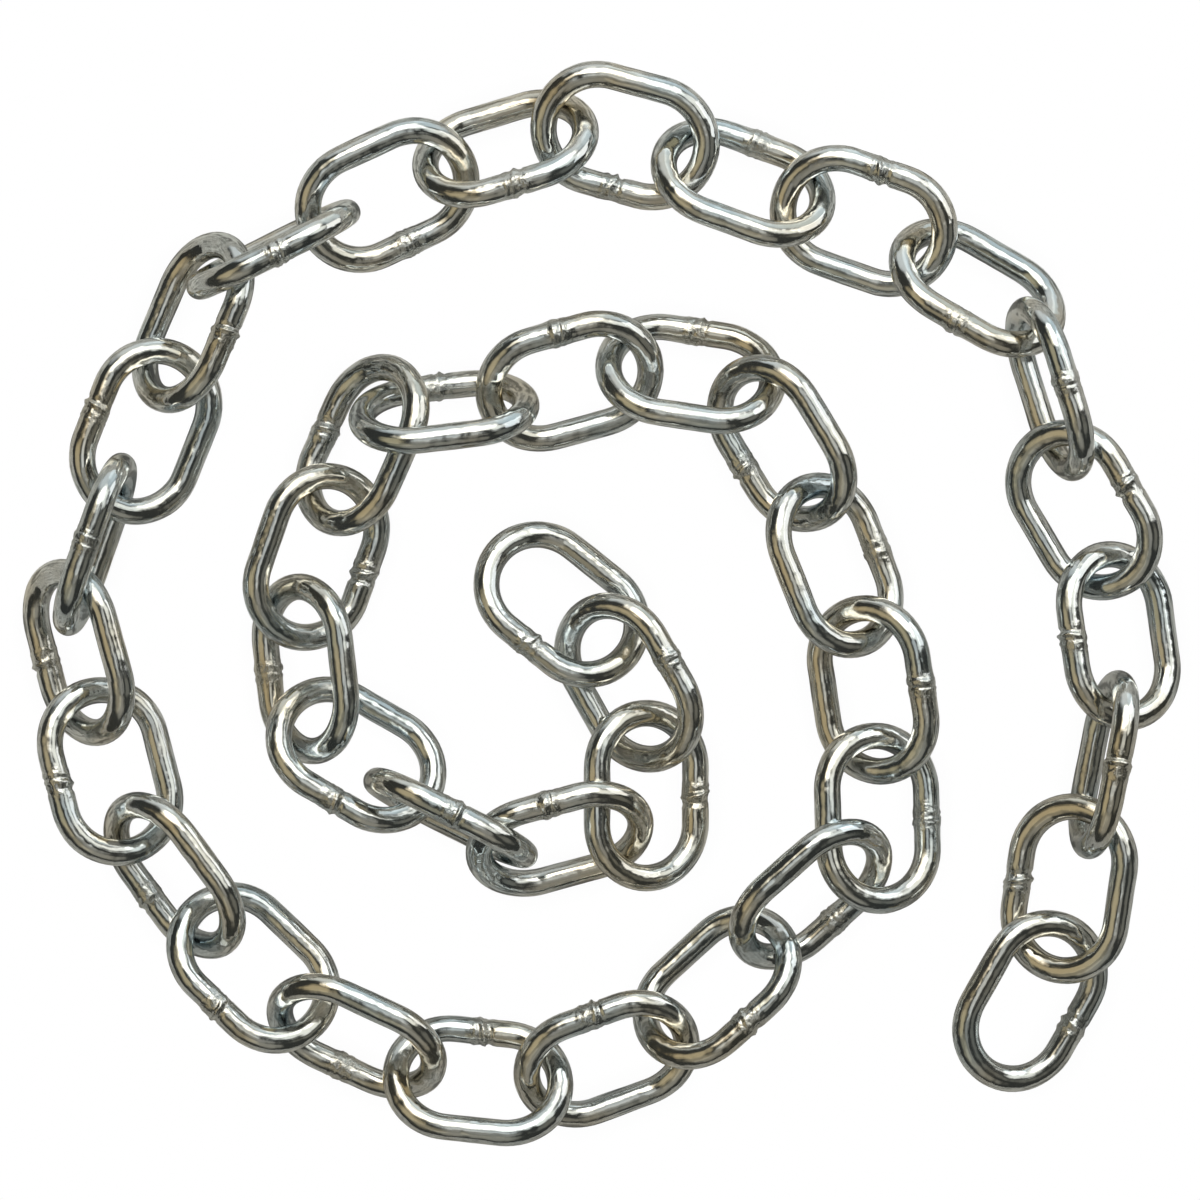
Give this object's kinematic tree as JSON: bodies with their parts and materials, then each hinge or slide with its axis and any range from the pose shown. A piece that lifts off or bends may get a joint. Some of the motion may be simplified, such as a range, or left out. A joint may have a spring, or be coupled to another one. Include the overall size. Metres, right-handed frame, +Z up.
{
  "type": "steel link chain",
  "caption": "Length of welded zinc-plated steel link chain, laid on the floor in an open flat spiral with each oval link threaded loosely through the next.",
  "frame": {"origin": "middle of the spiral's outline, on the floor that the chain lies on", "axes": "+X along the spiral's longest extent, the picture's left to right; +Y up the picture; +Z up from the floor"},
  "size_m": [0.209, 0.1944, 0.0249],
  "materials": {
    "zinc_plated_steel": "bright zinc plating, glossy"
  },
  "bodies": {
    "root": {"link_01": "zinc_plated_steel", "link_02": "zinc_plated_steel", "link_03": "zinc_plated_steel", "link_04": "zinc_plated_steel", "link_05": "zinc_plated_steel", "link_06": "zinc_plated_steel", "link_07": "zinc_plated_steel", "link_08": "zinc_plated_steel", "link_09": "zinc_plated_steel", "link_10": "zinc_plated_steel", "link_11": "zinc_plated_steel", "link_12": "zinc_plated_steel", "link_13": "zinc_plated_steel", "link_14": "zinc_plated_steel", "link_15": "zinc_plated_steel", "link_16": "zinc_plated_steel", "link_17": "zinc_plated_steel", "link_18": "zinc_plated_steel", "link_19": "zinc_plated_steel", "link_20": "zinc_plated_steel", "link_21": "zinc_plated_steel", "link_22": "zinc_plated_steel", "link_23": "zinc_plated_steel", "link_24": "zinc_plated_steel", "link_25": "zinc_plated_steel", "link_26": "zinc_plated_steel", "link_27": "zinc_plated_steel", "link_28": "zinc_plated_steel", "link_29": "zinc_plated_steel", "link_30": "zinc_plated_steel", "link_31": "zinc_plated_steel", "link_32": "zinc_plated_steel", "link_33": "zinc_plated_steel", "link_34": "zinc_plated_steel", "link_35": "zinc_plated_steel", "link_36": "zinc_plated_steel", "link_37": "zinc_plated_steel", "link_38": "zinc_plated_steel", "link_39": "zinc_plated_steel", "link_40": "zinc_plated_steel", "link_41": "zinc_plated_steel"}
  },
  "joints": []
}
